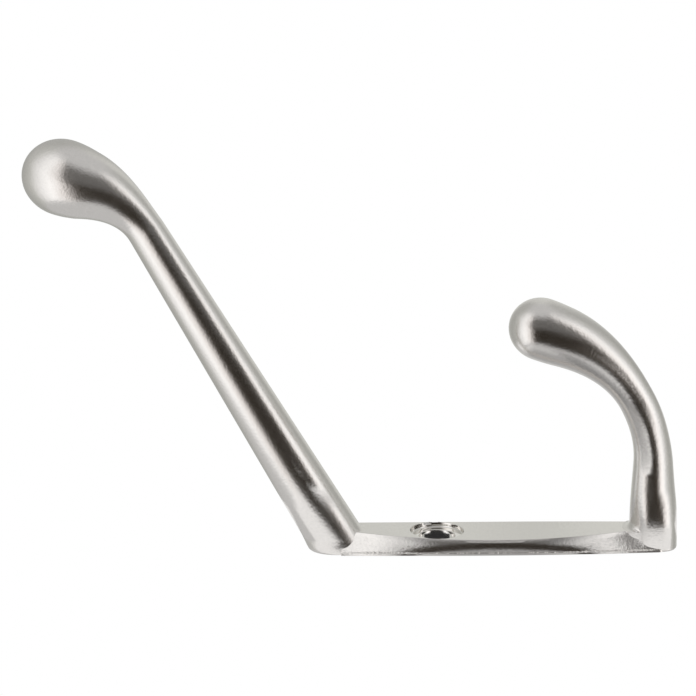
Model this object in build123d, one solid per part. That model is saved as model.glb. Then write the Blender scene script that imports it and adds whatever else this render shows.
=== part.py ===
from build123d import *
import os
from math import radians, sin, tan

# A hat-and-coat hook, in millimetres, as it hangs on a wall. +Z is up the wall and
# -Y points into the room, so the back of the hook lies on the plane y = 0. The
# origin is the point on that plane where the axis of the screw hole meets it.

# Places up the wall of the two prong feet, measured from the screw hole
hat_foot_z = 15.0
coat_foot_z = -33.7

# Back plate: widest and thinnest midway between the two feet
back_w_mid = 10.5
flat_w_mid = 8.6
flat_w_foot = 2.9
plate_t_mid = 2.4
plate_t_foot = 3.3
plate_end_into_foot = 2.0
plate_stations = 9
edge_bevel = 0.4
side_bulge = 0.15
flash_land = 0.35
flash_step = 0.12

# Screw hole, for a flat-head wood screw of about 4 mm
hole_r = 2.8
sink_r = 4.2
sink_depth = 0.6

# Hat prong: a straight tapered bar, a bend, and a long egg-shaped knob. The neck ends
# a little way round the bend, and the knob's widest place is past the bend's end.
hat_lean = 60.0
hat_bar_l = 58.7
hat_bend_r = 18.0
hat_bend_turn = 40.0
hat_foot_r = 4.35
hat_neck_r = 2.95
hat_neck_past_bar = 1.3
hat_knob_r = 5.9
hat_knob_past_bend = 3.7
hat_knob_nose = 6.5

# Coat prong: square to the wall, then one long curve up to a rounder knob. Its neck is
# a short stretch of even thickness, a little way round the bend.
coat_lean = 90.0
coat_bar_l = 13.1
coat_bend_r = 22.4
coat_bend_turn = 69.0
coat_foot_r = 3.72
coat_root_l = 3.0
coat_neck_r = 2.86
coat_neck_past_bar = 5.9
coat_neck_l = 5.0
coat_knob_r = 4.88
coat_knob_past_bend = 3.2
coat_knob_nose = 5.2

# Pads of the feet: how far the squared outline on the wall stands out past the round
# bar on each side, how far up it takes to become round, and how far inside it ends
hat_pad_side = 0.5
hat_pad_end = 0.6
hat_pad_corner = 2.8
hat_pad_h = 3.0
coat_pad_side = 0.63
coat_pad_end = 0.08
coat_pad_corner = 1.2
coat_pad_h = 5.2
pad_inset = 0.3

# Brazed joints: a tongue on each end of the plate enters a mortise in the foot
tongue_w = 4.0
tongue_t = 1.5
tongue_lift = 0.5
tongue_reach = 3.2
braze_gap = 0.05

flare_stations = 8

# Sizes of the two pads on the wall
hat_pad_w = 2 * (hat_foot_r + hat_pad_side)
hat_pad_l = 2 * (hat_foot_r + hat_pad_end)
coat_pad_w = 2 * (coat_foot_r + coat_pad_side)
coat_pad_l = 2 * (coat_foot_r + coat_pad_end)

# The hook's side view, with x up the wall and y out into the room
side = Plane(origin=(0, 0, 0), x_dir=(0, 0, 1), z_dir=(1, 0, 0))
half_span = (hat_foot_z - coat_foot_z) / 2
mid_z = (hat_foot_z + coat_foot_z) / 2


def bowed(middle, foot, z):
    """A size that changes from the middle of the plate to a foot along a parabola."""
    return middle + (foot - middle) * ((z - mid_z) / half_span) ** 2


def plate_t(z):
    """Thickness of the plate at a height on the wall."""
    return bowed(plate_t_mid, plate_t_foot, z)


def eased(start, end, u):
    """From start to end as u goes from 0 to 1, level at both ends."""
    u = min(max(u, 0), 1)
    return start + (end - start) * u * u * (3 - 2 * u)


def prong_path(foot_z, lean, bar_l, bend_r, bend_turn, knob_l):
    """Centre line of a prong: a straight bar, a bend up the wall, a straight knob."""
    bar = PolarLine((foot_z, 0), bar_l, lean)
    bend = JernArc(bar @ 1, bar % 1, bend_r, -bend_turn)
    knob = Line(bend @ 1, bend @ 1 + (bend % 1) * knob_l)
    return side * Wire([bar.edge(), bend.edge(), knob.edge()])


def section(path, s, r):
    """A round section of a prong, s along its centre line."""
    here = path.position_at(s, position_mode=PositionMode.LENGTH)
    along = path.tangent_at(s, position_mode=PositionMode.LENGTH)
    return Plane(origin=here, x_dir=(1, 0, 0), z_dir=along) * Circle(r)


def swept(path, start, end, r_start, r_end):
    """A stretch of a prong whose radius eases from one value to the other."""
    steps = [i / flare_stations for i in range(flare_stations + 1)]
    return loft([section(path, start + (end - start) * u, eased(r_start, r_end, u)) for u in steps])


def nose(path, s, r, length):
    """The domed end of a knob: half an ellipsoid beyond its widest section."""
    here = path.position_at(s, position_mode=PositionMode.LENGTH)
    along = path.tangent_at(s, position_mode=PositionMode.LENGTH)
    dome = EllipticalCenterArc((0, 0), length, r, start_angle=0, arc_size=90)
    outline = make_face([Line((0, 0), (length, 0)), dome.edge(), Line((0, r), (0, 0))])
    return revolve(Plane(origin=here, x_dir=along, z_dir=(1, 0, 0)) * outline, Axis(here, along), 360)


def pad(foot_z, lean, outline, height, top_r):
    """The squared base of a foot, which turns into the round bar above it."""
    on_wall = Plane(origin=(0, 0, foot_z), x_dir=(1, 0, 0), z_dir=(0, -1, 0))
    on_top = on_wall.offset(height)
    on_top.origin += Vector(0, 0, height / tan(radians(lean)))
    return loft([on_wall * outline, on_top * Ellipse(top_r, top_r / sin(radians(lean)))])


def in_room(solid):
    """What is left of a solid in front of the wall."""
    size = 4 * half_span
    return solid & Pos(0, -size / 2, mid_z) * Box(size, size, 2 * size)


def tongue(foot_z, inner_edge_z, gap):
    """A tongue of the plate, from just inside its end to its tip in the foot."""
    into_foot = 1 if foot_z > mid_z else -1
    root_z = inner_edge_z - into_foot * plate_end_into_foot
    tip_z = inner_edge_z + into_foot * (tongue_reach + gap)
    low, high = sorted((root_z, tip_z))
    middle_y = -(tongue_lift + tongue_t / 2)
    key = Box(tongue_w + 2 * gap, tongue_t + 2 * gap, high - low)
    return Pos(0, middle_y, (low + high) / 2) * key


def hat_blank():
    """The whole outer shape of the hat prong."""
    path = prong_path(
        hat_foot_z, hat_lean, hat_bar_l, hat_bend_r, hat_bend_turn, hat_knob_past_bend)
    neck_at = hat_bar_l + hat_neck_past_bar
    taper = (hat_foot_r - hat_neck_r) / neck_at
    below = 2 * hat_foot_r
    start = path.position_at(0) - path.tangent_at(0) * below
    root = Plane(origin=start, x_dir=(1, 0, 0), z_dir=path.tangent_at(0))
    root_section = root * Circle(hat_foot_r + taper * below)
    bar = loft([root_section, section(path, hat_bar_l, hat_foot_r - taper * hat_bar_l)], ruled=True)
    neck = loft([
        section(path, hat_bar_l, hat_foot_r - taper * hat_bar_l),
        section(path, (hat_bar_l + neck_at) / 2, hat_foot_r - taper * (hat_bar_l + neck_at) / 2),
        section(path, neck_at, hat_neck_r),
    ])
    flare = swept(path, neck_at, path.length, hat_neck_r, hat_knob_r)
    whole = bar + neck + flare + nose(path, path.length, hat_knob_r, hat_knob_nose)
    outline = RectangleRounded(hat_pad_w, hat_pad_l, hat_pad_corner)
    top_r = hat_foot_r - taper * hat_pad_h - pad_inset
    return in_room(whole + pad(hat_foot_z, hat_lean, outline, hat_pad_h, top_r))


def coat_blank():
    """The whole outer shape of the coat prong."""
    path = prong_path(
        coat_foot_z, coat_lean, coat_bar_l, coat_bend_r, coat_bend_turn, coat_knob_past_bend)
    neck_from = coat_bar_l + coat_neck_past_bar
    neck_to = neck_from + coat_neck_l
    root = loft([section(path, 0, coat_foot_r), section(path, coat_root_l, coat_foot_r)], ruled=True)
    taper = swept(path, coat_root_l, neck_from, coat_foot_r, coat_neck_r)
    neck = swept(path, neck_from, neck_to, coat_neck_r, coat_neck_r)
    flare = swept(path, neck_to, path.length, coat_neck_r, coat_knob_r)
    whole = root + taper + neck + flare + nose(path, path.length, coat_knob_r, coat_knob_nose)
    outline = RectangleRounded(coat_pad_w, coat_pad_l, coat_pad_corner)
    return in_room(whole + pad(coat_foot_z, coat_lean, outline, coat_pad_h, coat_foot_r - pad_inset))


def plate_section(z):
    """Half-round section of the plate, with a flat top, bevelled edges and a flash land."""
    foot_w = hat_pad_w if z > mid_z else coat_pad_w
    back = bowed(back_w_mid, foot_w, z) / 2
    flat = bowed(flat_w_mid, flat_w_foot, z) / 2
    top = plate_t(z)
    low = Vector(back - flash_step, flash_land + flash_step)
    high = Vector(flat + edge_bevel, top - edge_bevel)
    outward = (high - low).normalized().rotate(Axis.Z, -90)
    belly = (low + high) / 2 + outward * side_bulge
    right = [
        Line((0, 0), (back, 0)),
        Line((back, 0), (back, flash_land)),
        Line((back, flash_land), low),
        ThreePointArc(low, belly, high),
        Line(high, (flat, top)),
        Line((flat, top), (0, top)),
    ]
    outline = [edge.edge() for edge in right]
    outline += [edge.edge().mirror(Plane.YZ) for edge in right]
    return Plane(origin=(0, 0, z), x_dir=(1, 0, 0), z_dir=(0, 0, -1)) * make_face(outline)


def plate_blank(inner_hat_z, inner_coat_z):
    """The plate before its ends are shaped to the feet, reaching a little into both."""
    low = inner_coat_z - plate_end_into_foot
    high = inner_hat_z + plate_end_into_foot
    steps = [i / (plate_stations - 1) for i in range(plate_stations)]
    return loft([plate_section(low + (high - low) * u) for u in steps])


def screw_hole():
    """The countersunk hole, cut from the top of the plate through to the wall."""
    top = plate_t(0)
    half_angle_run = sink_r - hole_r
    over = sink_r
    slope = half_angle_run / sink_depth
    into_plate = Plane(origin=(0, -(top + over), 0), x_dir=(1, 0, 0), z_dir=(0, 1, 0))
    seat = Solid.make_cone(sink_r + slope * over, hole_r, over + sink_depth, into_plate)
    bore = Solid.make_cylinder(hole_r, 2 * over + top, into_plate)
    return seat + bore


def make_parts():
    """All the pieces of the hook, by name."""
    inner_hat_z = hat_foot_z - hat_pad_l / 2
    inner_coat_z = coat_foot_z + coat_pad_l / 2
    hat, coat = hat_blank(), coat_blank()
    plate = plate_blank(inner_hat_z, inner_coat_z) - hat - coat - screw_hole()
    for foot_z, inner_z in ((hat_foot_z, inner_hat_z), (coat_foot_z, inner_coat_z)):
        plate += tongue(foot_z, inner_z, 0)
    return {
        "back_plate": plate,
        "hat_prong": hat - tongue(hat_foot_z, inner_hat_z, braze_gap),
        "coat_prong": coat - tongue(coat_foot_z, inner_coat_z, braze_gap),
    }


os.makedirs("parts", exist_ok=True)
for name, shape in make_parts().items():
    export_step(shape, f"parts/{name}.step")
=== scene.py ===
import math

import bmesh
import bpy
from bpy.props import FloatProperty, FloatVectorProperty, IntProperty, PointerProperty
from mathutils import Matrix, Vector


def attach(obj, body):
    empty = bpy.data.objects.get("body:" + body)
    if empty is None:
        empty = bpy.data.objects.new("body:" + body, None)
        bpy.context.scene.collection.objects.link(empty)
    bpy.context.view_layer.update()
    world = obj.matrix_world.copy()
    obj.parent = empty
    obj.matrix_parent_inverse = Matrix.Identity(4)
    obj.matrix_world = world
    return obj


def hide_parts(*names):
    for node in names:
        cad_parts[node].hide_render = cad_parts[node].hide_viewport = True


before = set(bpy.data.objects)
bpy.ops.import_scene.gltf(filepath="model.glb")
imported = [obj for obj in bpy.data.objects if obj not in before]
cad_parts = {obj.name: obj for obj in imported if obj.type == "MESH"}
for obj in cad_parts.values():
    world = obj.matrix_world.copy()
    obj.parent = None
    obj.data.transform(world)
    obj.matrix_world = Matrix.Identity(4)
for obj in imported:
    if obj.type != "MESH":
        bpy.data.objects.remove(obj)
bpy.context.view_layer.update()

bl_info = {
    "name": "Hat-and-coat hook",
    "version": (1, 0, 0),
    "blender": (4, 5, 0),
    "location": "View3D > Sidebar > Hook",
    "description": "A satin nickel hat-and-coat hook: back plate, hat prong and coat prong",
    "category": "Add Mesh",
}

# The hook hangs on the wall plane y = 0, with z up the wall and -y out into the room.
# The origin is where the axis of the screw hole meets the wall.
MM = 0.001
BODY = "root"


# Property helpers

def size(label, text, millimetres):
    """A length that a user can change."""
    return FloatProperty(name=label, description=text, default=millimetres * MM, unit="LENGTH", precision=5)


def turn(label, text, degrees):
    """An angle that a user can change."""
    return FloatProperty(name=label, description=text, default=math.radians(degrees), unit="ROTATION")


def share(label, text, value):
    """A plain number from 0 to 1."""
    return FloatProperty(name=label, description=text, default=value, min=0, max=1, subtype="FACTOR")


def number(label, text, value):
    """A plain number."""
    return FloatProperty(name=label, description=text, default=value, precision=3)


def steps(label, text, count):
    """A whole number of steps."""
    return IntProperty(name=label, description=text, default=count, min=2)


def colour(label, text, rgb):
    """A colour that a user can change."""
    return FloatVectorProperty(
        name=label, description=text, default=rgb, size=3, min=0, max=1, subtype="COLOR")


# Settings

class ProngSizes:
    """The sizes that both prongs have, for the drawing tree."""

    def tree_values(self):
        """The named inputs of the prong tree, as this prong sets them."""
        knob_at = self.bar + self.bend_radius * self.bend_turn + self.knob_past_bend
        neck_from = self.bar + self.neck_past_bar
        return {
            "Foot Height": self.foot_height,
            "Lean": self.lean,
            "Foot Radius": self.foot_radius,
            "Neck Radius": self.neck_radius,
            "Knob Radius": self.knob_radius,
            "Root Length": self.root_length,
            "Neck From": neck_from,
            "Neck To": neck_from + self.neck_length,
            "Knob At": knob_at,
            "Nose Length": self.nose_length,
            "Taper Ease": self.taper_ease,
            "Pad Half Width": self.foot_radius + self.pad_side,
            "Pad Half Length": self.foot_radius + self.pad_end,
            "Pad Squareness": self.pad_squareness,
            "Pad Height": self.pad_height,
            "Pad Edge": self.pad_edge,
            "Fillet": self.fillet,
            "Fillet Height": self.fillet_height,
            "Fillet Side": self.fillet_side,
            "Fillet Reach": self.fillet_reach,
            "Pad From": self.pad_from,
            "Pad Plateau": self.pad_plateau,
        }


class HatProngSettings(bpy.types.PropertyGroup, ProngSizes):
    foot_height: size("Foot Height", "Height of the foot's centre above the screw hole", 15.0)
    lean: turn("Lean", "Angle of the bar above the wall", 60)
    bar: size("Bar", "Length of the straight bar along its centre line", 58.7)
    bend_radius: size("Bend Radius", "Radius of the bend along its centre line", 18.0)
    bend_turn: turn("Bend Turn", "How far the bend turns up the wall", 40)
    root_length: size("Root", "Length at the foot's full thickness", 0)
    neck_past_bar: size("Neck", "Distance of the neck past the end of the bar", 1.3)
    neck_length: size("Neck Length", "Length of even thickness at the neck", 0)
    knob_past_bend: size("Knob", "Distance of the knob's widest place past the bend", 3.7)
    nose_length: size("Nose", "Length of the dome beyond the knob's widest place", 6.485)
    foot_radius: size("Foot Radius", "Radius of the bar at the wall", 4.35)
    neck_radius: size("Neck Radius", "Radius at the neck", 2.95)
    knob_radius: size("Knob Radius", "Radius of the knob", 5.897)
    taper_ease: share("Taper Ease", "0 for a straight taper, 1 for an eased one", 0)
    pad_side: size("Pad Side", "How far the foot stands out past the bar at each side", 0.12)
    pad_end: size("Pad End", "How far the foot stands out past the bar at each end", 0.72)
    pad_squareness: number("Pad Squareness", "2 for an oval foot, higher for a squarer one", 2.3)
    pad_height: size("Pad Height", "How far up the foot its squared outline fades", 2.2)
    pad_from: size("Pad From", "Where the squared outline starts, from the foot's centre", -2.5)
    pad_plateau: share("Pad Plateau", "How much of the pad's height keeps its full width", 0)
    pad_edge: size("Pad Edge", "Rounding of the foot's edge on the wall", 0.12)
    fillet: size("Fillet", "Radius of the brazed fillet on the plate", 0.65)
    fillet_height: size("Fillet Height", "Thickness of the plate where the bar meets it", 3.0)
    fillet_side: number("Fillet Side", "-1 when the plate lies below the foot, 1 above", -1)
    fillet_reach: size("Fillet Reach", "Half the width of plate that the fillet crosses", 2.1)


class CoatProngSettings(bpy.types.PropertyGroup, ProngSizes):
    foot_height: size("Foot Height", "Height of the foot's centre above the screw hole", -33.7)
    lean: turn("Lean", "Angle of the bar above the wall", 90)
    bar: size("Bar", "Length of the straight bar along its centre line", 13.1)
    bend_radius: size("Bend Radius", "Radius of the bend along its centre line", 22.4)
    bend_turn: turn("Bend Turn", "How far the bend turns up the wall", 69)
    root_length: size("Root", "Length at the foot's full thickness", 3.0)
    neck_past_bar: size("Neck", "Distance of the neck past the end of the bar", 5.9)
    neck_length: size("Neck Length", "Length of even thickness at the neck", 5.0)
    knob_past_bend: size("Knob", "Distance of the knob's widest place past the bend", 3.2)
    nose_length: size("Nose", "Length of the dome beyond the knob's widest place", 5.2)
    foot_radius: size("Foot Radius", "Radius of the bar at the wall", 3.68)
    neck_radius: size("Neck Radius", "Radius at the neck", 2.86)
    knob_radius: size("Knob Radius", "Radius of the knob", 4.88)
    taper_ease: share("Taper Ease", "0 for a straight taper, 1 for an eased one", 1)
    pad_side: size("Pad Side", "How far the foot stands out past the bar at each side", 0.35)
    pad_end: size("Pad End", "How far the foot stands out past the bar at each end", 0.05)
    pad_squareness: number("Pad Squareness", "2 for an oval foot, higher for a squarer one", 3.0)
    pad_height: size("Pad Height", "How far up the foot its squared outline fades", 10.0)
    pad_from: size("Pad From", "Where the squared outline starts, from the foot's centre", -3.0)
    pad_plateau: share("Pad Plateau", "How much of the pad's height keeps its full width", 0.35)
    pad_edge: size("Pad Edge", "Rounding of the foot's edge on the wall", 0.12)
    fillet: size("Fillet", "Radius of the brazed fillet on the plate", 1.1)
    fillet_height: size("Fillet Height", "Thickness of the plate where the bar meets it", 3.05)
    fillet_side: number("Fillet Side", "-1 when the plate lies below the foot, 1 above", 1)
    fillet_reach: size("Fillet Reach", "Half the width of plate that the fillet crosses", 2.8)


class BackPlateSettings(bpy.types.PropertyGroup):
    top_end: size("Top End", "Height of the plate's upper end, in the hat foot", 15.0)
    low_end: size("Low End", "Height where the plate's lower end starts to round off", -34.4)
    corner: size("Corner", "Radius of the corners of the plate's lower end", 1.0)
    wall_gap: size("Wall Gap", "How far the plate's back stays off the wall", 0.03)
    flare_from: size("Flare From", "Where the sides start to rise to a foot, from the middle", 21.2)
    flare_to: size("Flare To", "Where the sides meet a foot, from the middle", 24.4)
    flare_out: size("Flare Out", "How far the sides spread where they meet a foot", 0.9)
    flare_up: size("Flare Up", "How far the sides rise where they meet a foot", 0.6)
    middle: size("Middle", "Height midway between the two feet", -9.35)
    half_span: size("Half Span", "Half the distance between the centres of the feet", 24.35)
    back_middle: size("Back Middle", "Half the width on the wall at the middle", 5.25)
    back_hat: size("Back At Hat Foot", "Half the width on the wall at the hat foot", 4.85)
    back_coat: size("Back At Coat Foot", "Half the width on the wall at the coat foot", 4.35)
    flat_middle: size("Flat Middle", "Half the width of the flat top at the middle", 4.6)
    flat_hat: size("Flat At Hat Foot", "Half the width of the flat top at the hat foot", 1.9)
    flat_coat: size("Flat At Coat Foot", "Half the width of the flat top at the coat foot", 1.35)
    thick_middle: size("Thickness Middle", "Thickness at the middle", 2.4)
    thick_foot: size("Thickness At Feet", "Thickness at the feet", 3.3)
    bevel: size("Bevel", "Width of the bevelled band round the flat top", 0.36)
    bevel_drop: size("Bevel Drop", "Drop of the bevelled band round the flat top", 0.4)
    lean_middle: number("Side Curve Middle", "1 for flat sides, higher for sides upright at the wall", 3.0)
    lean_foot: number("Side Curve At Feet", "1 for flat sides, higher for sides upright at the wall", -2.5)
    station: size("Station", "Spacing of the cross-sections", 1.0)
    corner_steps: steps("Corner Steps", "Steps round each corner", 9)
    side_steps: steps("Side Steps", "Steps down each side", 12)
    crease: size("Crease", "Rounding of the edges", 0.07)
    hole: size("Hole", "Radius of the screw hole", 2.8)
    sink: size("Countersink", "Radius of the countersink", 4.2)
    seat: size("Seat", "Radius where the dished countersink meets the hole", 2.86)
    sink_depth: size("Countersink Depth", "Depth of the dished countersink", 0.75)
    sink_draft: size("Countersink Draft", "How far the dish's wall leans in", 0.12)
    sink_round: size("Countersink Round", "Radius between the dish's wall and its floor", 0.22)
    sink_fall: size("Countersink Fall", "How far the dish's floor falls to the hole", 0.05)
    sink_steps: steps("Countersink Steps", "Steps round the dish", 7)
    flash_height: size("Flash Height", "Height of the trimmed flash above the wall", 0.42)
    flash: size("Flash", "Thickness of the trimmed flash", 0.16)
    flash_unevenness: number("Flash Unevenness", "How much the flash's thickness varies", 1.7)


class FinishSettings(bpy.types.PropertyGroup):
    metal: colour("Metal", "Colour of the satin nickel", (0.80, 0.775, 0.75))
    bright_metal: colour("Bright Metal", "Colour of the machined hole", (0.88, 0.86, 0.83))
    roughness: share("Roughness", "Roughness of the satin finish", 0.21)
    bright_roughness: share("Bright Roughness", "Roughness of the machined hole", 0.1)
    grain: size("Grain", "Size of the blasted grain", 0.34)
    grain_depth: size("Grain Depth", "Depth of the blasted grain", 0.03)


class StageSettings(bpy.types.PropertyGroup):
    distance: FloatProperty(
        name="Distance", description="From the camera to the hook", default=1.0, unit="LENGTH")
    lens: FloatProperty(
        name="Lens", description="Focal length of the camera", default=333.9, unit="CAMERA")
    elevation: turn("Elevation", "How far the camera stands out from the wall", 16.57)
    roll: turn("Roll", "How far the camera is turned about its own axis", 0.4)
    aim_out: size("Aim Out", "Distance of the aim point from the wall", 32.345)
    aim_up: size("Aim Up", "Height of the aim point above the screw hole", 13.706)
    tent_front: size("Tent Front", "Distance of the light tent in front of the hook's side", 105)
    tent_size: size("Tent Size", "Half the length and the depth of the light tent", 190)
    slit_up: size("Slit Height", "Where the slit of the tent is along the hook", -21)
    veil: share("Veil", "How far the ceiling's light fills the upper part of the slit", 0.2)
    light: number("Light", "Brightness of the light tent", 1.0)
    under_inner: size("Under Inner", "Where the white cards beside the hook start, from its middle", 4.4)
    under_outer: size("Under Outer", "Where the white cards beside the hook end, from its middle", 17.5)
    hat_outer: size("Hat Outer", "Where the white card beside the hat foot ends", 32)
    hat_inner_end: size("Hat Inner End", "Where the white card beside the hat foot starts along the hook", 4)
    under_low: size("Under Low", "Where the cards beside the hook start along it", -50)
    under_high: size("Under High", "Where the cards beside the hook end along it", 30)
    under_from: size("Under From", "How far from the plate's middle the cards are dim", 6)
    under_to: size("Under To", "How far from the plate's middle the cards are bright", 22)
    under_dim: number("Under Dim", "Brightness of the cards at the plate's middle", 0.42)
    under_bright: number("Under Bright", "Brightness of the cards at their ends", 0.95)
    shade: number("Shade", "Brightness of the shade under the hole", 0.03)
    side_near: size("Side Near", "Where the small cards over the plate's side start", 4.4)
    side_far: size("Side Far", "Where the small cards over the plate's side end", 22)
    side_height: size("Side Height", "Height of the small cards over the plate's side", 12)
    side_from: size("Side From", "How far from the plate's middle the side cards are dim", 10.5)
    side_to: size("Side To", "How far from the plate's middle the side cards are bright", 22)
    side_dim: number("Side Dim", "Brightness of the side cards' near ends", 0.15)
    side_bright: number("Side Bright", "Brightness of the side cards' far ends", 1.2)
    hat_card_low: size("Hat Card From", "Where the card beside the hat foot starts", 3)
    hat_card_high: size("Hat Card To", "Where the card beside the hat foot ends", 14.5)
    coat_card_low: size("Coat Card From", "Where the card beside the coat foot starts", -31.6)
    coat_card_high: size("Coat Card To", "Where the card beside the coat foot ends", -19)


# Nodes: ordinary arithmetic between sockets

class Num:
    """A number that nodes work out, which ordinary arithmetic can be written with."""

    def __init__(self, tree, socket):
        self.tree, self.socket = tree, socket

    def via(self, operation, *others, clamp=False):
        """The result of one Math node on this number and the others."""
        node = self.tree.nodes.new("ShaderNodeMath")
        node.operation, node.use_clamp = operation, clamp
        for slot, value in zip(node.inputs, (self, *others)):
            put(self.tree, value, slot)
        return Num(self.tree, node.outputs[0])

    def __add__(self, other):
        return self.via("ADD", other)

    def __sub__(self, other):
        return self.via("SUBTRACT", other)

    def __mul__(self, other):
        return self.via("MULTIPLY", other)

    def __truediv__(self, other):
        return self.via("DIVIDE", other)

    def __pow__(self, other):
        return self.via("POWER", other)

    def __neg__(self):
        return self.via("MULTIPLY", -1.0)

    def clamped(self):
        """This number, kept from 0 to 1."""
        return self.via("ADD", 0.0, clamp=True)


def put(tree, value, socket):
    """Links a worked-out number into a socket, or sets the socket to a plain value."""
    if isinstance(value, Num):
        tree.links.new(value.socket, socket)
    elif isinstance(value, bpy.types.NodeSocket):
        tree.links.new(value, socket)
    else:
        socket.default_value = value


def add(tree, kind, settings=(), **inputs):
    """A new node with its settings and its inputs, by socket name."""
    node = tree.nodes.new(kind)
    for name, value in dict(settings).items():
        setattr(node, name, value)
    for name, value in inputs.items():
        put(tree, value, node.inputs[name.replace("_", " ")])
    return node


def span(value, start, end):
    """How far a value is from start to end, kept from 0 to 1."""
    return ((value - start) / (end - start)).clamped()


def eased(u):
    """A share from 0 to 1, made level at both ends."""
    return u * u * (-(u * 2.0) + 3.0)


def group_inputs(tree, floats, menus=()):
    """Makes a tree's named inputs and returns them by name."""
    for name, kind in [*[(name, "NodeSocketFloat") for name in floats], *menus]:
        tree.interface.new_socket(name, in_out="INPUT", socket_type=kind)
    node = tree.nodes.new("NodeGroupInput")
    found = {name: Num(tree, node.outputs[name]) for name in floats}
    found.update({name: node.outputs[name] for name, _ in menus})
    return found


def evaluated_mesh(obj):
    """A plain mesh of an object with its modifiers applied."""
    depsgraph = bpy.context.evaluated_depsgraph_get()
    return bpy.data.meshes.new_from_object(
        obj.evaluated_get(depsgraph), preserve_all_data_layers=True, depsgraph=depsgraph)


def run_tree(obj, tree, values):
    """Runs a geometry tree on an object, and returns a plain mesh of what it makes."""
    modifier = obj.modifiers.new(tree.name, "NODES")
    modifier.node_group = tree
    for item in tree.interface.items_tree:
        if item.item_type == "SOCKET" and item.in_out == "INPUT" and item.name in values:
            modifier[item.identifier] = values[item.name]
    mesh = evaluated_mesh(obj)
    obj.modifiers.remove(modifier)
    if not mesh.polygons:
        raise RuntimeError(f"{tree.name} made no faces")
    return mesh


# The prong tree

RINGS = 420
SEGMENTS = 112
NOSE_SHARE = 0.09
RING_CROWDING = 1.3
SLIDE_LENGTH = 9 * MM
SHARP_TURN = math.radians(32)
# Guards against dividing by nothing, and how close points are merged
LEAST_REACH = 0.001 * MM
LEAST_CROSSING = 0.00001
SAME_PLACE = 0.002 * MM
# Where the squared outline is whole, as a share of where it starts
PAD_WHOLE = -0.2
# Where the fillet starts to fade at each side, and where it is gone, as shares of its reach
FILLET_WHOLE = 0.7
FILLET_GONE = 1.15
PRONG_INPUTS = [
    "Foot Height", "Lean", "Foot Radius", "Neck Radius", "Knob Radius", "Root Length", "Neck From",
    "Neck To", "Knob At", "Nose Length", "Taper Ease", "Pad Half Width", "Pad Half Length",
    "Pad Squareness", "Pad Height", "Pad Edge", "Fillet", "Fillet Height", "Fillet Side",
    "Fillet Reach", "Pad From", "Pad Plateau",
]


def prong_radius(i, s, nose_angle):
    """The radius of a prong at a distance along its centre line."""
    along = (s - i["Root Length"]) / (i["Neck From"] - i["Root Length"])
    straight = along.via("MINIMUM", 1.0)
    curved = eased(along.clamped())
    taper = straight + (curved - straight) * i["Taper Ease"]
    flare = eased(span(s, i["Neck To"], i["Knob At"]))
    radius = i["Foot Radius"] + (i["Neck Radius"] - i["Foot Radius"]) * taper
    radius = radius + (i["Knob Radius"] - i["Neck Radius"]) * flare
    return radius * nose_angle.via("COSINE")


def foot_shape(i, x, y, z):
    """Moves a point of the foot out to its squared outline and its fillet on the plate."""
    height = -y
    centre = i["Foot Height"] + height / i["Lean"].via("TANGENT")
    up = z - centre
    reach = (x * x + up * up).via("SQRT").via("MAXIMUM", LEAST_REACH)
    squareness = i["Pad Squareness"]
    across = (x / reach / i["Pad Half Width"] * MM).via("ABSOLUTE") ** squareness
    along = (up / reach / i["Pad Half Length"] * MM).via("ABSOLUTE") ** squareness
    crossing = (across + along).via("MAXIMUM", LEAST_CROSSING)
    outline = crossing ** (-(squareness ** -1.0)) * MM
    outer = eased(span(-(up * i["Fillet Side"]), i["Pad From"], i["Pad From"] * PAD_WHOLE))
    fade = (-eased(span(height, i["Pad Height"] * i["Pad Plateau"], i["Pad Height"])) + 1.0) * outer
    grown = reach + (outline - reach) * fade
    edge = (span(height, 0.0, i["Pad Edge"] * 2.0) - 1.0) ** 2.0
    grown = grown - i["Pad Edge"] * edge
    rise = span(height, i["Fillet Height"], i["Fillet Height"] + i["Fillet"])
    concave = -((rise * rise * -1.0 + rise * 2.0).via("MAXIMUM", 0.0).via("SQRT")) + 1.0
    sideways = span(x.via("ABSOLUTE"), i["Fillet Reach"] * FILLET_WHOLE, i["Fillet Reach"] * FILLET_GONE)
    narrow = eased(-sideways + 1.0)
    facing = (up * i["Fillet Side"]).via("GREATER_THAN", 0.0)
    grown = grown + i["Fillet"] * concave * narrow * facing
    factor = grown / reach
    return x * factor, y, centre + up * factor


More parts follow.
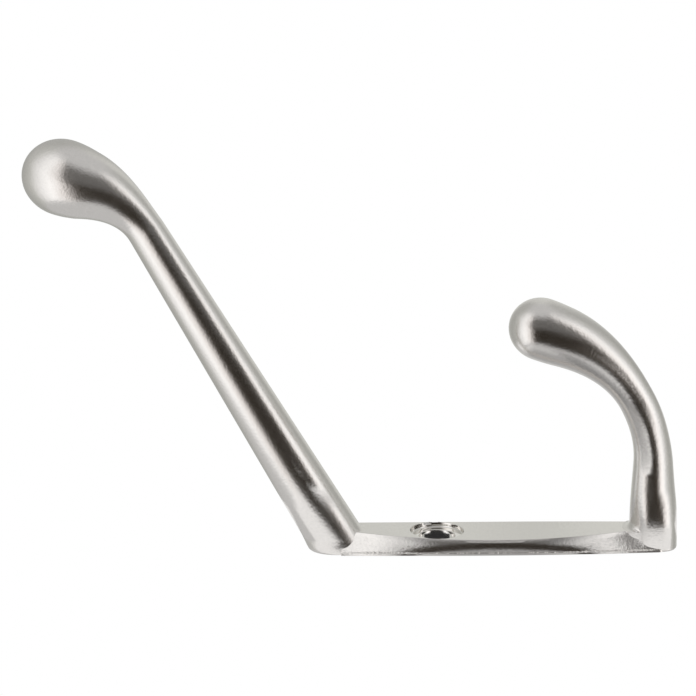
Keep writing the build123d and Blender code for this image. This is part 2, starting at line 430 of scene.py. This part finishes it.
def prong_tree():
    """A round bar that follows a curve, from a squared foot on the wall to a domed knob."""
    tree = bpy.data.node_groups.new("Prong", "GeometryNodeTree")
    tree.interface.new_socket("Centre Line", in_out="INPUT", socket_type="NodeSocketGeometry")
    i = group_inputs(tree, PRONG_INPUTS, [("Material", "NodeSocketMaterial")])
    entry = next(node for node in tree.nodes if node.type == "GROUP_INPUT")
    tree.interface.new_socket("Mesh", in_out="OUTPUT", socket_type="NodeSocketGeometry")
    grid = add(tree, "GeometryNodeMeshGrid",
               Size_X=1.0, Size_Y=1.0, Vertices_X=RINGS, Vertices_Y=SEGMENTS + 1)
    position = tree.nodes.new("GeometryNodeInputPosition").outputs[0]
    place = add(tree, "ShaderNodeSeparateXYZ", Vector=position)
    ring = (Num(tree, place.outputs["X"]) + 0.5) * float(RINGS - 1)
    angle = (Num(tree, place.outputs["Y"]) + 0.5) * math.tau
    on_side = ring.via("MINIMUM", 1.0)
    u = ((ring - 1.0) / float(RINGS - 2)).clamped()
    nose_angle = span(u, 1.0 - NOSE_SHARE, 1.0) * (math.pi / 2)
    shaft = (u / (1.0 - NOSE_SHARE)).via("MINIMUM", 1.0) ** RING_CROWDING * i["Knob At"]
    s = shaft + i["Nose Length"] * nose_angle.via("SINE")
    first = prong_radius(i, s, nose_angle)
    near_foot = span(s, SLIDE_LENGTH, 0.0)
    slide = first * angle.via("SINE") / i["Lean"].via("TANGENT") * near_foot
    radius = prong_radius(i, s + slide, nose_angle) * on_side
    slide = slide * on_side
    line = add(tree, "GeometryNodeSampleCurve", {"mode": "LENGTH", "use_all_curves": True},
               Curves=entry.outputs["Centre Line"], Length=s)
    point = add(tree, "ShaderNodeSeparateXYZ", Vector=line.outputs["Position"])
    tangent = add(tree, "ShaderNodeSeparateXYZ", Vector=line.outputs["Tangent"])
    ty, tz = Num(tree, tangent.outputs["Y"]), Num(tree, tangent.outputs["Z"])
    x, lift = radius * angle.via("COSINE"), radius * angle.via("SINE")
    y = Num(tree, point.outputs["Y"]) + ty * slide + tz * lift
    z = Num(tree, point.outputs["Z"]) + tz * slide - ty * lift
    y = y * s.via("GREATER_THAN", 0.0)
    x, y, z = foot_shape(i, x, y.via("MINIMUM", 0.0), z)
    placed = add(tree, "ShaderNodeCombineXYZ", X=x * on_side, Y=y, Z=z)
    shaped = add(tree, "GeometryNodeSetPosition",
                 Geometry=grid.outputs["Mesh"], Position=placed.outputs[0])
    outward = add(tree, "GeometryNodeFlipFaces", Mesh=shaped.outputs[0])
    closed = add(tree, "GeometryNodeMergeByDistance", Geometry=outward.outputs[0], Distance=SAME_PLACE)
    bend = Num(tree, tree.nodes.new("GeometryNodeInputMeshEdgeAngle").outputs["Unsigned Angle"])
    smooth = add(tree, "GeometryNodeSetShadeSmooth", {"domain": "FACE"},
                 Geometry=closed.outputs[0], Shade_Smooth=True)
    creased = add(tree, "GeometryNodeSetShadeSmooth", {"domain": "EDGE"}, Geometry=smooth.outputs[0],
                  Selection=bend.via("GREATER_THAN", SHARP_TURN), Shade_Smooth=False)
    finish_tree(tree, creased.outputs[0], i["Material"])
    return tree


def finish_tree(tree, geometry, material):
    """Ends a geometry tree: real geometry, with its material."""
    real = add(tree, "GeometryNodeRealizeInstances", Geometry=geometry)
    painted = add(tree, "GeometryNodeSetMaterial", Geometry=real.outputs[0], Material=material)
    out = tree.nodes.new("NodeGroupOutput")
    tree.links.new(painted.outputs[0], out.inputs[0])


FLASH_SEED = 3.7
FLASH_WAVES_PER_METRE = 2600.0
FLASH_LEAST = 0.15
FLASH_END_SLOPE = 14.0
FLASH_SIDES = 8
FLASH_SPACING = 0.1 * MM


def flash_tree():
    """The uneven line of trimmed flash that follows the plate's lower edge."""
    tree = bpy.data.node_groups.new("Flash Line", "GeometryNodeTree")
    tree.interface.new_socket("Edge", in_out="INPUT", socket_type="NodeSocketGeometry")
    i = group_inputs(
        tree, ["Thickness", "Unevenness", "Spacing"], [("Material", "NodeSocketMaterial")])
    entry = next(node for node in tree.nodes if node.type == "GROUP_INPUT")
    tree.interface.new_socket("Mesh", in_out="OUTPUT", socket_type="NodeSocketGeometry")
    points = add(tree, "GeometryNodeResampleCurve", {"mode": "LENGTH"},
                 Curve=entry.outputs["Edge"], Length=i["Spacing"])
    position = tree.nodes.new("GeometryNodeInputPosition").outputs[0]
    noise = add(tree, "ShaderNodeTexNoise", {"noise_dimensions": "4D"},
                Vector=position, W=FLASH_SEED, Scale=FLASH_WAVES_PER_METRE, Detail=2.0)
    uneven = (Num(tree, noise.outputs[0]) - 0.5) * i["Unevenness"] * 2.0 + 1.0
    ends = Num(tree, tree.nodes.new("GeometryNodeSplineParameter").outputs["Factor"])
    inside = ((ends * (-ends + 1.0)) * FLASH_END_SLOPE).clamped()
    profile = add(tree, "GeometryNodeCurvePrimitiveCircle", Resolution=FLASH_SIDES, Radius=1.0)
    swept = add(tree, "GeometryNodeCurveToMesh",
                Curve=points.outputs[0], Profile_Curve=profile.outputs[0], Fill_Caps=True,
                Scale=i["Thickness"] * uneven.via("MAXIMUM", FLASH_LEAST) * inside)
    finish_tree(tree, swept.outputs[0], i["Material"])
    return tree


# Making pieces

def link(name, data):
    """Puts new data in the scene as an object at the origin."""
    obj = bpy.data.objects.new(name, data)
    bpy.context.scene.collection.objects.link(obj)
    return obj


def as_piece(obj, node):
    """Makes an object ride with the hook, in place of the CAD node of the same part."""
    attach(obj, BODY)
    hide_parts(node)


BEND_STEPS = 3
CURVE_STEPS = 96


def centre_line(s):
    """The curve that a prong follows: a straight bar, a bend up the wall, and a straight end."""
    def way(angle):
        return Vector((0, -math.sin(angle), math.cos(angle)))

    step = s.bend_turn / BEND_STEPS
    chord = 2 * s.bend_radius * math.sin(step / 2)
    handle = 4 / 3 * math.tan(step / 4) * s.bend_radius
    tail = s.knob_past_bend + s.nose_length
    third = way(s.lean) * s.bar / 3
    place = Vector((0, 0, s.foot_height))
    knots = [(place, third, third)]
    place = place + way(s.lean) * s.bar
    knots.append((place, third, way(s.lean) * handle))
    for index in range(1, BEND_STEPS + 1):
        before, after = s.lean - step * (index - 1), s.lean - step * index
        place = place + way((before + after) / 2) * chord
        onward = tail / 3 if index == BEND_STEPS else handle
        knots.append((place, way(after) * handle, way(after) * onward))
    last = way(after) * tail / 3
    knots.append((place + way(after) * tail, last, last))
    curve = bpy.data.curves.new("centre_line", "CURVE")
    curve.dimensions = "3D"
    curve.resolution_u = CURVE_STEPS
    spline = curve.splines.new("BEZIER")
    spline.bezier_points.add(len(knots) - 1)
    for point, (co, back, on) in zip(spline.bezier_points, knots):
        point.handle_left_type = point.handle_right_type = "FREE"
        point.co, point.handle_left, point.handle_right = co, co - back, co + on
    return link("centre_line", curve)


def make_prong(name, settings):
    """One prong, from its settings, in place of its CAD node."""
    line = centre_line(settings)
    tree = bpy.data.node_groups.get("Prong") or prong_tree()
    mesh = run_tree(line, tree, {**settings.tree_values(), "Material": satin_nickel()})
    bpy.data.objects.remove(line)
    as_piece(link(f"{name}_shell", mesh), name)


CORNER_TURN = math.radians(85)
SAME_EDGE = 0.03 * MM
CREASE_TURN = math.radians(17)
HOLE_SEGMENTS = 128
CUTTER_OVER = 1.5 * MM


def bowed(middle, foot, along):
    """A size that changes from the middle of the plate to a foot along a parabola."""
    return middle + (foot - middle) * along * along


def plate_profile(s, z):
    """Half of the plate's outline at a height: from the middle of its top to its lower edge."""
    along = (z - s.middle) / s.half_span
    back_foot, flat_foot = (s.back_hat, s.flat_hat) if z > s.middle else (s.back_coat, s.flat_coat)
    back = bowed(s.back_middle, back_foot, along)
    past = min(max(0.0, s.low_end - z), s.corner)
    back = back - s.corner + math.sqrt(s.corner * s.corner - past * past)
    flat = bowed(s.flat_middle, flat_foot, along)
    top = bowed(s.thick_middle, s.thick_foot, along)
    past_flare = (abs(z - s.middle) - s.flare_from) / (s.flare_to - s.flare_from)
    flare = min(1.0, max(0.0, past_flare)) ** 2
    shoulder = Vector((flat + s.bevel + s.flare_out * flare, top - s.bevel_drop + s.flare_up * flare))
    shoulder.x = min(shoulder.x, back)
    points = [Vector((flat, top))]
    for index in range(s.side_steps + 1):
        points.append(side_point(s, z, back, shoulder, 1 - index / s.side_steps))
    return points


def side_point(s, z, back, shoulder, rise):
    """A point of the plate's side, which leans in more towards its top."""
    lean = bowed(s.lean_middle, s.lean_foot, (z - s.middle) / s.half_span)
    out = s.wall_gap + (shoulder.y - s.wall_gap) * rise
    return Vector((back + (shoulder.x - back) * rise ** max(1.0, lean), out))


def plate_stations(s):
    """The heights of the plate's cross-sections, from its rounded lower end up."""
    step = CORNER_TURN / s.corner_steps
    corner = [s.low_end - s.corner * math.sin(step * index) for index in range(s.corner_steps, 0, -1)]
    length = s.top_end - s.low_end
    count = round(length / s.station)
    return corner + [s.low_end + length * index / count for index in range(count + 1)]


def closed_loft(rings, name):
    """A closed shape through rings of points, from first to last, as a smooth mesh."""
    bm = bmesh.new()
    rows = [[bm.verts.new(place) for place in ring] for ring in rings]
    for low, high in zip(rows, rows[1:]):
        for index in range(len(low)):
            after = (index + 1) % len(low)
            bm.faces.new((low[index], low[after], high[after], high[index]))
    bm.faces.new(rows[0])
    bm.faces.new(rows[-1])
    bmesh.ops.recalc_face_normals(bm, faces=bm.faces)
    mesh = bpy.data.meshes.new(name)
    bm.to_mesh(mesh)
    bm.free()
    mesh.polygons.foreach_set("use_smooth", [True] * len(mesh.polygons))
    return mesh


def plate_mesh(s):
    """The plate before its hole is cut."""
    rings = []
    for z in plate_stations(s):
        half = plate_profile(s, z)
        outline = [*half, *[Vector((-p.x, p.y)) for p in reversed(half)]]
        rings.append([(p.x, -p.y, z) for p in outline])
    return closed_loft(rings, "back_plate_blank")


def hole_cutter(s):
    """The shape of the countersunk hole, a little longer than the plate is thick."""
    top = bowed(s.thick_middle, s.thick_foot, -s.middle / s.half_span)
    wall, deep = s.sink - s.sink_draft, top - s.sink_depth + s.sink_round
    floor = top - s.sink_depth - s.sink_fall
    outline = [(s.sink, top + CUTTER_OVER), (s.sink, top)]
    for index in range(s.sink_steps + 1):
        angle = math.pi / 2 * index / s.sink_steps
        radius = wall - s.sink_round * (1 - math.cos(angle))
        outline.append((radius, deep - s.sink_round * math.sin(angle)))
    outline += [(s.seat, floor), (s.hole, floor - (s.seat - s.hole)), (s.hole, -CUTTER_OVER)]
    angles = [math.tau * index / HOLE_SEGMENTS for index in range(HOLE_SEGMENTS)]
    rings = [[(r * math.cos(a), -out, r * math.sin(a)) for a in angles] for r, out in outline]
    mesh = closed_loft(rings, "hole_cutter")
    mesh.polygons.foreach_set("material_index", [1] * len(mesh.polygons))
    return mesh


def drilled_plate(s, materials):
    """The plate with its hole cut and its edges rounded, as a plain mesh."""
    blank, cutter = plate_mesh(s), hole_cutter(s)
    for mesh in (blank, cutter):
        for material in materials:
            mesh.materials.append(material)
    plate, tool = link("back_plate_work", blank), link("hole_cutter", cutter)
    cut = plate.modifiers.new("Hole", "BOOLEAN")
    cut.operation = "DIFFERENCE"
    cut.solver = "EXACT"
    cut.object = tool
    weld = plate.modifiers.new("Weld", "WELD")
    weld.merge_threshold = SAME_EDGE
    edges = plate.modifiers.new("Edges", "BEVEL")
    edges.width = s.crease
    edges.segments = 2
    edges.limit_method = "ANGLE"
    edges.angle_limit = CREASE_TURN
    edges.use_clamp_overlap = False
    edges.harden_normals = True
    mesh = evaluated_mesh(plate)
    bpy.data.objects.remove(plate)
    bpy.data.objects.remove(tool)
    return mesh


def flash_mesh(s, material):
    """The trimmed flash along both lower edges of the plate."""
    curve = bpy.data.curves.new("lower_edge", "CURVE")
    curve.dimensions = "3D"
    stations = plate_stations(s)
    for side in (-1, 1):
        spline = curve.splines.new("POLY")
        spline.points.add(len(stations) - 1)
        for index, z in enumerate(stations):
            half = plate_profile(s, z)
            place = side_point(s, z, half[-1].x, half[1], s.flash_height / half[1].y)
            spline.points[index].co = (side * place.x, -place.y, z, 1)
    line = link("lower_edge", curve)
    tree = flash_tree()
    values = {
        "Thickness": s.flash,
        "Unevenness": s.flash_unevenness,
        "Spacing": FLASH_SPACING,
        "Material": material,
    }
    mesh = run_tree(line, tree, values)
    bpy.data.objects.remove(line)
    return mesh


# Finishes

def shader_tree(name, inputs, outputs):
    """A new shader group with named float inputs and outputs."""
    tree = bpy.data.node_groups.new(name, "ShaderNodeTree")
    for output, kind in outputs:
        tree.interface.new_socket(output, in_out="OUTPUT", socket_type=kind)
    return tree, group_inputs(tree, inputs)


PIT_SCALE = 0.6
PIT_SHARE = 0.25
PATCH_SCALE = 0.05
GRAIN_DARK = 0.93
GRAIN_BRIGHT = 1.07
SATIN_PATCHINESS = 0.06
BRIGHT_PATCHINESS = 0.04
BRIGHT_GRAIN_SHARE = 0.1


def grain_group():
    """Blasted grain: a height for bump, and a mask of slightly duller patches."""
    found = bpy.data.node_groups.get("Blasted Grain")
    if found:
        return found
    tree, i = shader_tree(
        "Blasted Grain", ["Scale"], [("Height", "NodeSocketFloat"), ("Patches", "NodeSocketFloat")])
    place = tree.nodes.new("ShaderNodeTexCoord").outputs["Object"]
    fine = add(tree, "ShaderNodeTexNoise", Vector=place, Scale=i["Scale"], Detail=3.0, Roughness=0.65)
    pits = add(tree, "ShaderNodeTexVoronoi", Vector=place, Scale=i["Scale"] * PIT_SCALE, Randomness=1.0)
    broad = add(tree, "ShaderNodeTexNoise", Vector=place, Scale=i["Scale"] * PATCH_SCALE, Detail=2.0)
    height = Num(tree, fine.outputs[0]) * (1 - PIT_SHARE) + Num(tree, pits.outputs["Distance"]) * PIT_SHARE
    out = tree.nodes.new("NodeGroupOutput")
    put(tree, height, out.inputs["Height"])
    put(tree, Num(tree, broad.outputs[0]), out.inputs["Patches"])
    return tree


def metal_material(name, tint, roughness, scale, depth, patchiness):
    """A nickel finish with its own tint, roughness and depth of grain."""
    material = bpy.data.materials.new(name)
    material.use_nodes = True
    tree = material.node_tree
    shader = tree.nodes["Principled BSDF"]
    shader.inputs["Metallic"].default_value = 1.0
    grain = tree.nodes.new("ShaderNodeGroup")
    grain.node_tree = grain_group()
    grain.inputs["Scale"].default_value = 1 / scale
    patches = Num(tree, grain.outputs["Patches"])
    put(tree, patches * patchiness + (roughness - patchiness / 2), shader.inputs["Roughness"])
    worn = add(tree, "ShaderNodeMix", {"data_type": "RGBA"})
    put(tree, Num(tree, grain.outputs["Height"]), worn.inputs["Factor"])
    worn.inputs[6].default_value = (*[c * GRAIN_DARK for c in tint], 1)
    worn.inputs[7].default_value = (*[min(1.0, c * GRAIN_BRIGHT) for c in tint], 1)
    tree.links.new(worn.outputs[2], shader.inputs["Base Color"])
    bump = add(tree, "ShaderNodeBump", Height=grain.outputs["Height"], Distance=depth)
    bump.inputs["Strength"].default_value = 1.0
    tree.links.new(bump.outputs[0], shader.inputs["Normal"])
    return material


def satin_nickel():
    """The blasted and plated finish of all the outer surfaces."""
    s = bpy.context.scene.hook_finish
    found = bpy.data.materials.get("satin_nickel_finish")
    return found or metal_material(
        "satin_nickel_finish", s.metal, s.roughness, s.grain, s.grain_depth, SATIN_PATCHINESS)


def bright_nickel():
    """The machined and plated finish inside the screw hole."""
    s = bpy.context.scene.hook_finish
    found = bpy.data.materials.get("bright_nickel_finish")
    return found or metal_material(
        "bright_nickel_finish", s.bright_metal, s.bright_roughness, s.grain,
        s.grain_depth * BRIGHT_GRAIN_SHARE, BRIGHT_PATCHINESS)


# The stage

# How bright the tent is at each angle round the slit, and the tint of its cloth there.
BROWN = (1.22, 1.0, 0.78)
ROSE = (1.03, 0.99, 0.97)
WHITE = (1.0, 1.0, 1.0)
OLIVE = (1.0, 1.01, 0.965)
TENT_BAND = (
    (-180, 0.60, OLIVE), (-160, 0.74, OLIVE), (-146, 0.62, OLIVE), (-130, 0.47, OLIVE),
    (-112, 0.42, OLIVE), (-90, 0.55, OLIVE), (-76, 0.75, WHITE), (-58, 1.3, WHITE),
    (-41, 1.2, ROSE), (-31, 0.05, BROWN),
    (-14, 0.025, BROWN), (14, 0.025, BROWN), (28, 0.04, BROWN), (42, 0.95, ROSE), (58, 1.25, WHITE),
    (76, 0.95, WHITE), (95, 0.56, OLIVE), (118, 0.43, OLIVE), (142, 0.46, OLIVE), (160, 0.68, OLIVE),
    (172, 0.7, OLIVE), (180, 0.60, OLIVE))
CEILING = 0.6
# Heights in degrees between which the band starts at the floor, ends at the ceiling, and is
# filled by the ceiling's light
BAND_STARTS = (-36, -24)
BAND_ENDS = (48, 72)
VEIL_STARTS = (14, 34)
TENT_SUBDIVISIONS = 5
GROUND_REACH = 2.0
# How far behind the wall plane the ground and the cards on it lie
GROUND_BEHIND = 0.02 * MM
CARD_BEHIND = 0.01 * MM
# Where an edge of the slit leans over: between two heights in degrees, it moves from where it
# would be between two angles, by a shift in degrees.
SLIT_LEANS = ((14, 30, 5, 30, -9), (-6, 3, -5, -30, 15))


def glow(name):
    """An emissive stage material, with its tree, its light node and its output node."""
    material = bpy.data.materials.new(name)
    material.use_nodes = True
    tree = material.node_tree
    tree.nodes.clear()
    out = tree.nodes.new("ShaderNodeOutputMaterial")
    light = tree.nodes.new("ShaderNodeEmission")
    material.cycles.emission_sampling = "NONE"
    return material, tree, light, out


def object_place(tree):
    """The three coordinates of a point, by the name of their axis."""
    where = tree.nodes.new("ShaderNodeTexCoord").outputs["Object"]
    parts = add(tree, "ShaderNodeSeparateXYZ", Vector=where)
    return {axis: Num(tree, parts.outputs[axis]) for axis in "XYZ"}


def between(value, degrees):
    """How far an angle is between two angles in degrees, eased at both ends."""
    start, end = degrees
    return eased(span(value, math.radians(start), math.radians(end)))


def tent_material(s):
    """White cloth that is brighter towards the lamps, with a dark slit for the camera."""
    material, tree, light, out = glow("tent_cloth")
    x, y, z = object_place(tree).values()
    flat = (x * x + (z - s.slit_up) * (z - s.slit_up)).via("SQRT")
    rise = (-y - s.aim_out * 0.5).via("ARCTAN2", flat)
    way = (z - s.slit_up).via("ARCTAN2", -x)
    for start, end, near, far, shift in SLIT_LEANS:
        lean = between(rise, (start, end))
        way = way + lean * between(way, (near, far)) * math.radians(shift)
    around = way / math.tau + 0.5
    band = tree.nodes.new("ShaderNodeValToRGB")
    ramp = band.color_ramp
    while len(ramp.elements) > 1:
        ramp.elements.remove(ramp.elements[-1])
    for index, (degrees, level, tint) in enumerate(TENT_BAND):
        spot = ramp.elements[0] if index == 0 else ramp.elements.new((degrees + 180) / 360)
        spot.position = (degrees + 180) / 360
        spot.color = (*[level * part for part in tint], 1)
    put(tree, around, band.inputs[0])
    low = between(rise, BAND_STARTS)
    high = -between(rise, BAND_ENDS) + 1.0
    veil = between(rise, VEIL_STARTS) * -s.veil + 1.0
    cloth = add(tree, "ShaderNodeMix", {"data_type": "RGBA"})
    put(tree, low * high * veil, cloth.inputs["Factor"])
    cloth.inputs[6].default_value = (CEILING, CEILING, CEILING, 1)
    tree.links.new(band.outputs[0], cloth.inputs[7])
    tree.links.new(cloth.outputs[2], light.inputs["Color"])
    light.inputs["Strength"].default_value = s.light
    tree.links.new(light.outputs[0], out.inputs["Surface"])
    return material


def card_material(name, measure, start, end, dim, bright):
    """A white card that is dim at the start of a measure and bright at its end."""
    material, tree, light, out = glow(name)
    along = measure(object_place(tree))
    put(tree, span(along, start, end) * (bright - dim) + dim, light.inputs["Strength"])
    tree.links.new(light.outputs[0], out.inputs["Surface"])
    return material


def flat_mesh(name, across, along, y):
    """A flat rectangle parallel to the wall, between two edges across and two along."""
    left, right = across
    low, high = along
    mesh = bpy.data.meshes.new(name)
    corners = [(left, y, low), (right, y, low), (right, y, high), (left, y, high)]
    mesh.from_pydata(corners, [], [(0, 1, 2, 3)])
    mesh.update()
    return mesh


def flat_card(name, across, along, y, material):
    """A card parallel to the wall that only reflections see."""
    mesh = flat_mesh(name, across, along, y)
    mesh.materials.append(material)
    obj = link(name, mesh)
    obj.visible_camera = obj.visible_diffuse = obj.visible_shadow = False
    return obj


def add_cards(s, plate):
    """White cards beside the hook, a shade under its hole, and a card over the side of each end."""
    def from_middle(at):
        return (at["Z"] - plate.middle).via("ABSOLUTE")

    under = card_material("card_under", from_middle, s.under_from, s.under_to, s.under_dim, s.under_bright)
    beside = card_material("card_beside", from_middle, s.side_from, s.side_to, s.side_dim, s.side_bright)
    shade = card_material("card_shade", from_middle, 0.0, s.under_to, s.shade, s.shade)
    along = (s.under_low, s.under_high)
    hidden = plate.hole * math.sqrt(0.5)
    foot = (s.hat_inner_end, s.under_high)
    cards = [
        flat_card("card_shade", (-hidden, hidden), (-hidden, hidden), CARD_BEHIND, shade),
        flat_card("card_left", (-s.under_outer, -s.under_inner), along, CARD_BEHIND, under),
        flat_card("card_right", (s.under_inner, s.under_outer), along, CARD_BEHIND, under),
        flat_card("card_foot", (-s.hat_outer, -s.under_outer), foot, CARD_BEHIND, under),
    ]
    for name, ends in (("card_hat", (s.hat_card_low, s.hat_card_high)),
                       ("card_coat", (s.coat_card_low, s.coat_card_high))):
        cards.append(flat_card(name, (-s.side_far, -s.side_near), ends, -s.side_height, beside))
    return cards


def ground_material():
    """A plain white ground that is only seen from its front."""
    material, tree, light, out = glow("white_ground")
    clear = tree.nodes.new("ShaderNodeBsdfTransparent")
    pick = tree.nodes.new("ShaderNodeMixShader")
    tree.links.new(tree.nodes.new("ShaderNodeNewGeometry").outputs["Backfacing"], pick.inputs[0])
    tree.links.new(light.outputs[0], pick.inputs[1])
    tree.links.new(clear.outputs[0], pick.inputs[2])
    tree.links.new(pick.outputs[0], out.inputs["Surface"])
    return material


def tent_mesh(s):
    """A closed dome of cloth round the hook."""
    bm = bmesh.new()
    bmesh.ops.create_icosphere(bm, subdivisions=TENT_SUBDIVISIONS, radius=1.0)
    scale = Matrix.Diagonal((s.tent_front, s.tent_size, s.tent_size, 1))
    centre = Matrix.Translation((0, -s.aim_out / 2, s.slit_up))
    bmesh.ops.transform(bm, matrix=centre @ scale, verts=bm.verts)
    mesh = bpy.data.meshes.new("tent")
    bm.to_mesh(mesh)
    bm.free()
    return mesh


def add_camera(s):
    """The camera, which looks at the hook's side from a little way out into the room."""
    data = bpy.data.cameras.new("camera")
    data.lens, data.sensor_width, data.clip_end = s.lens, 36, 10
    camera = link("camera", data)
    back = Vector((-math.cos(s.elevation), -math.sin(s.elevation), 0))
    aim = Vector((0, -s.aim_out, s.aim_up))
    upright = Vector((math.sin(s.elevation), -math.cos(s.elevation), 0))
    level = Vector((0, 0, -1))
    right = math.cos(s.roll) * level - math.sin(s.roll) * upright
    up = math.sin(s.roll) * level + math.cos(s.roll) * upright
    turned = Matrix((right, up, back)).transposed().to_4x4()
    camera.matrix_world = Matrix.Translation(aim + back * s.distance) @ turned
    bpy.context.scene.camera = camera


# Operators

class HookOperator:
    """What all the operators here share."""
    bl_options = {"REGISTER", "UNDO"}


class HOOK_OT_hat_prong(HookOperator, bpy.types.Operator):
    """Make the long hat prong"""
    bl_idname = "hook.hat_prong"
    bl_label = "Hat Prong"

    def execute(self, context):
        make_prong("hat_prong", context.scene.hook_hat_prong)
        return {"FINISHED"}


class HOOK_OT_coat_prong(HookOperator, bpy.types.Operator):
    """Make the curved coat prong"""
    bl_idname = "hook.coat_prong"
    bl_label = "Coat Prong"

    def execute(self, context):
        make_prong("coat_prong", context.scene.hook_coat_prong)
        return {"FINISHED"}


class HOOK_OT_back_plate(HookOperator, bpy.types.Operator):
    """Make the back plate with its countersunk hole"""
    bl_idname = "hook.back_plate"
    bl_label = "Back Plate"

    def execute(self, context):
        s = context.scene.hook_back_plate
        plate = drilled_plate(s, (satin_nickel(), bright_nickel()))
        piece = link("back_plate_shell", plate)
        as_piece(piece, "back_plate")
        flash = link("back_plate_flash", flash_mesh(s, satin_nickel()))
        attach(flash, BODY)
        return {"FINISHED"}


class HOOK_OT_stage(HookOperator, bpy.types.Operator):
    """Set up the ground, the light tent and the camera"""
    bl_idname = "hook.stage"
    bl_label = "Stage"

    def execute(self, context):
        s = context.scene.hook_stage
        reach = (-GROUND_REACH, GROUND_REACH)
        ground = link("ground", flat_mesh("ground", reach, reach, GROUND_BEHIND))
        ground.data.materials.append(ground_material())
        ground.visible_glossy = ground.visible_diffuse = ground.visible_shadow = False
        tent = link("tent", tent_mesh(s))
        tent.data.materials.append(tent_material(s))
        tent.visible_camera = tent.visible_shadow = False
        cards = add_cards(s, context.scene.hook_back_plate)
        world = bpy.data.worlds.new("room")
        world.use_nodes = True
        world.node_tree.nodes["Background"].inputs["Color"].default_value = (1, 1, 1, 1)
        context.scene.world = world
        context.scene.view_settings.view_transform = "Standard"
        add_camera(s)
        return {"FINISHED"}


class HOOK_PT_panel(bpy.types.Panel):
    """The hook's pieces in the sidebar"""
    bl_label = "Hat-and-coat hook"
    bl_idname = "HOOK_PT_panel"
    bl_space_type = "VIEW_3D"
    bl_region_type = "UI"
    bl_category = "Hook"

    def draw(self, context):
        for operator in OPERATORS:
            self.layout.operator(operator.bl_idname)


OPERATORS = (HOOK_OT_hat_prong, HOOK_OT_coat_prong, HOOK_OT_back_plate, HOOK_OT_stage)
SETTINGS = {
    "hook_hat_prong": HatProngSettings,
    "hook_coat_prong": CoatProngSettings,
    "hook_back_plate": BackPlateSettings,
    "hook_finish": FinishSettings,
    "hook_stage": StageSettings,
}


def register():
    """Adds the settings, the operators and the panel to Blender."""
    for name, group in SETTINGS.items():
        bpy.utils.register_class(group)
        setattr(bpy.types.Scene, name, PointerProperty(type=group))
    for cls in (*OPERATORS, HOOK_PT_panel):
        bpy.utils.register_class(cls)


def unregister():
    """Takes the settings, the operators and the panel out again."""
    for cls in (HOOK_PT_panel, *reversed(OPERATORS)):
        bpy.utils.unregister_class(cls)
    for name, group in SETTINGS.items():
        delattr(bpy.types.Scene, name)
        bpy.utils.unregister_class(group)


def main():
    """Makes the whole hook on its stage."""
    register()
    for operator in OPERATORS:
        module, name = operator.bl_idname.split(".")
        getattr(getattr(bpy.ops, module), name)()


if __name__ == "__main__":
    main()
